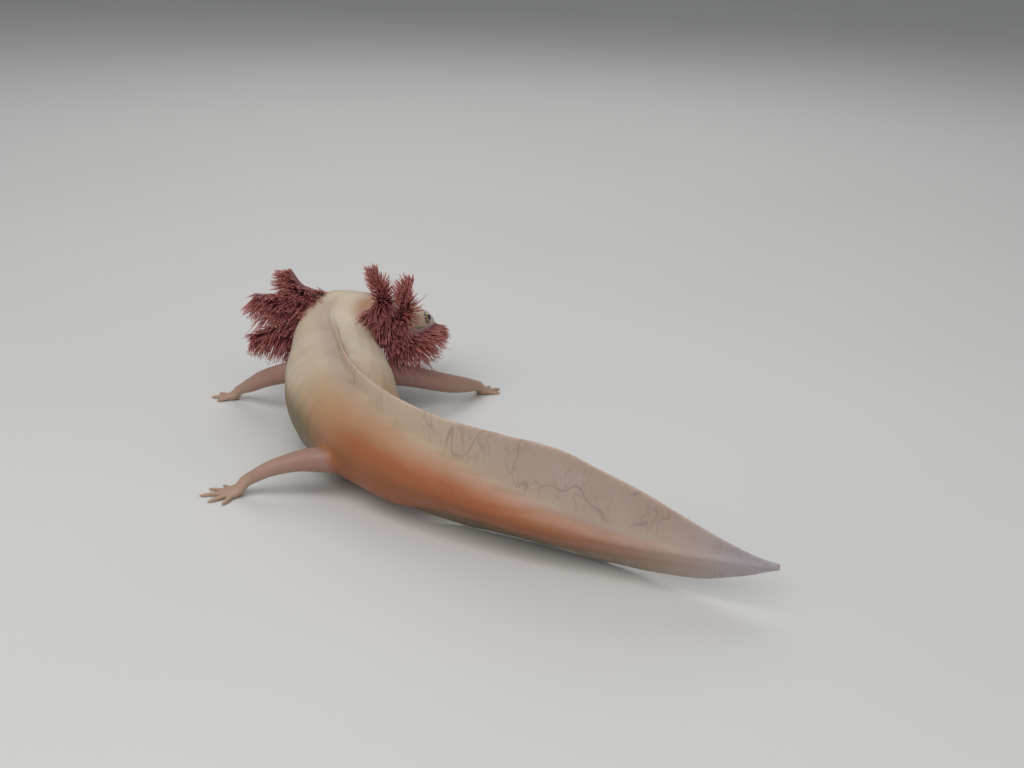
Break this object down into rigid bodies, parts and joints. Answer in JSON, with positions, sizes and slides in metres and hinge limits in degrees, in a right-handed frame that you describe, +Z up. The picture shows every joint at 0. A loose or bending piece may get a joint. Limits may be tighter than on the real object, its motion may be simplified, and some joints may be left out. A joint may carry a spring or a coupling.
{
  "type": "axolotl",
  "caption": "Life-size still axolotl on four spread legs, head raised and turned, feathery gills out, tall-finned tail swept to one side.",
  "frame": {"origin": "on the floor under the middle of the outline", "axes": "+Z up; the trunk faces +Y, the head turns from there towards +X, and the tail sweeps to +X and -Y"},
  "size_m": [0.1617, 0.1668, 0.0458],
  "materials": {
    "skin_back": "moist satin cast, pale cream with a green-grey cast",
    "skin_flank": "moist satin cast, peach to orange-brown with an olive yellow belly",
    "tail_muscle": "moist satin cast, orange-brown muscle seen through pale skin",
    "fin": "moist translucent cast, beige-pink with fine grey-brown veins",
    "limb": "moist satin cast, pale pinkish lavender",
    "gill": "moist soft crimson, darker at the stalk",
    "eye": "polished dark eye with a thin gold ring"
  },
  "bodies": {
    "root": {"neck": "skin_back", "trunk": "skin_flank", "tail_front": "tail_muscle", "tail_rear": "tail_muscle", "back_fin": "fin", "tail_fin_upper": "fin", "tail_fin_lower": "fin", "lower_jaw": "skin_back", "eye_left": "eye", "eye_right": "eye", "head": "skin_back", "arm_left_upper": "limb", "arm_left_lower": "limb", "arm_right_upper": "limb", "arm_right_lower": "limb", "leg_left_upper": "limb", "leg_left_lower": "limb", "leg_right_upper": "limb", "leg_right_lower": "limb", "hand_left": "limb", "hand_right": "limb", "foot_left": "limb", "foot_right": "limb", "gill_left_lower": "gill", "gill_left_middle": "gill", "gill_left_upper": "gill", "gill_right_lower": "gill", "gill_right_middle": "gill", "gill_right_upper": "gill"}
  },
  "joints": []
}
